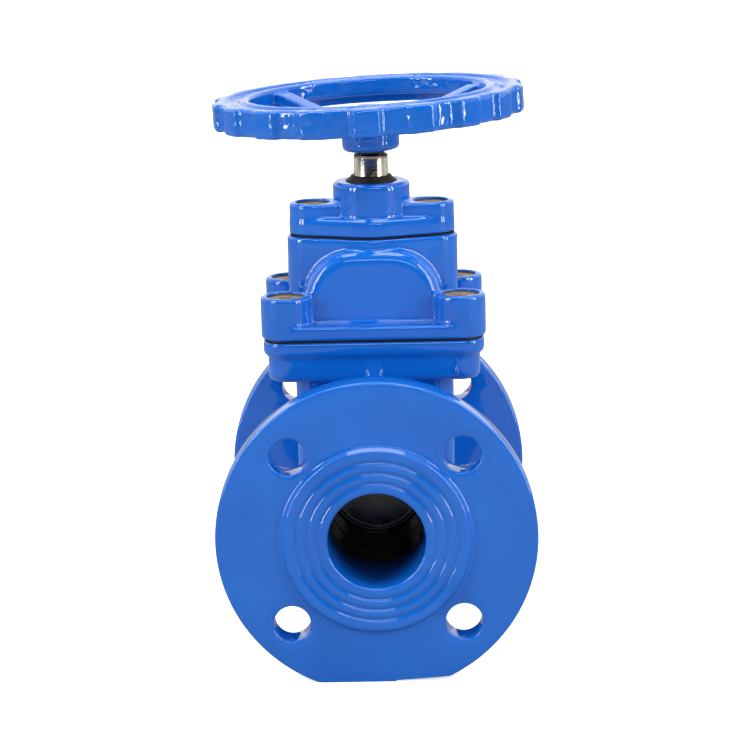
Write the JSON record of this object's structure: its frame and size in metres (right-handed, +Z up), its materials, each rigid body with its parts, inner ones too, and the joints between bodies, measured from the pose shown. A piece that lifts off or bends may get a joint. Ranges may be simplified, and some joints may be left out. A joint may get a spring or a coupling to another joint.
{
  "type": "flanged gate valve",
  "caption": "Resilient-seated gate valve with round drilled flanges, wedge gate on a non-rising stem, bolted bonnet, gland cover and scalloped handwheel.",
  "frame": {"origin": "centre of the footprint, on the ground under the flanges' flat feet", "axes": "+Z up along the stem, Y along the bore with the inlet flange at -Y, +X to the right seen from the inlet"},
  "size_m": [0.165, 0.178, 0.2991],
  "materials": {
    "blue_epoxy": "gloss",
    "sealing_wax": "matte",
    "zinc_plated_steel": "satin",
    "stainless_steel": "polished",
    "brass": "machined",
    "nylon": "satin",
    "ductile_iron": "as cast",
    "black_rubber": "satin",
    "brown_black_rubber": "matte"
  },
  "bodies": {
    "casing": {"body": "blue_epoxy", "bonnet": "blue_epoxy", "bonnet_gasket": "black_rubber", "gland_gasket": "black_rubber", "gland_cover": "blue_epoxy", "bonnet_screw_1": "zinc_plated_steel", "bonnet_screw_2": "zinc_plated_steel", "bonnet_screw_3": "zinc_plated_steel", "bonnet_screw_4": "zinc_plated_steel", "bonnet_wax_plug_1": "sealing_wax", "bonnet_wax_plug_2": "sealing_wax", "bonnet_wax_plug_3": "sealing_wax", "bonnet_wax_plug_4": "sealing_wax", "gland_screw_1": "zinc_plated_steel", "gland_screw_2": "zinc_plated_steel", "gland_wax_plug_1": "sealing_wax", "gland_wax_plug_2": "sealing_wax", "stem_bush": "nylon", "bush_o_ring": "brown_black_rubber", "stem_o_ring_lower": "brown_black_rubber", "stem_o_ring_upper": "brown_black_rubber", "dust_wiper": "brown_black_rubber", "thrust_washer_lower": "brass", "thrust_washer_upper": "brass"},
    "spindle": {"stem": "stainless_steel", "handwheel": "blue_epoxy", "handwheel_washer": "zinc_plated_steel", "handwheel_bolt": "zinc_plated_steel"},
    "gate": {"wedge_core": "ductile_iron", "wedge_rubber": "black_rubber", "stem_nut": "brass", "guide_shoe_left": "nylon", "guide_shoe_right": "nylon"}
  },
  "joints": [
    {"name": "stem_spin", "type": "hinge", "parent": "casing", "child": "spindle", "pos_m": [0, 0, 0.26], "axis": [0, 0, 1], "range_deg": [0, 5040]},
    {"name": "wedge_lift", "type": "slide", "parent": "casing", "child": "gate", "axis": [0, 0, 1], "range_m": [0, 0.056]}
  ],
  "couplings": [
    {"joint": "wedge_lift", "follows": "stem_spin", "m_per_rad": 0.00063662}
  ]
}
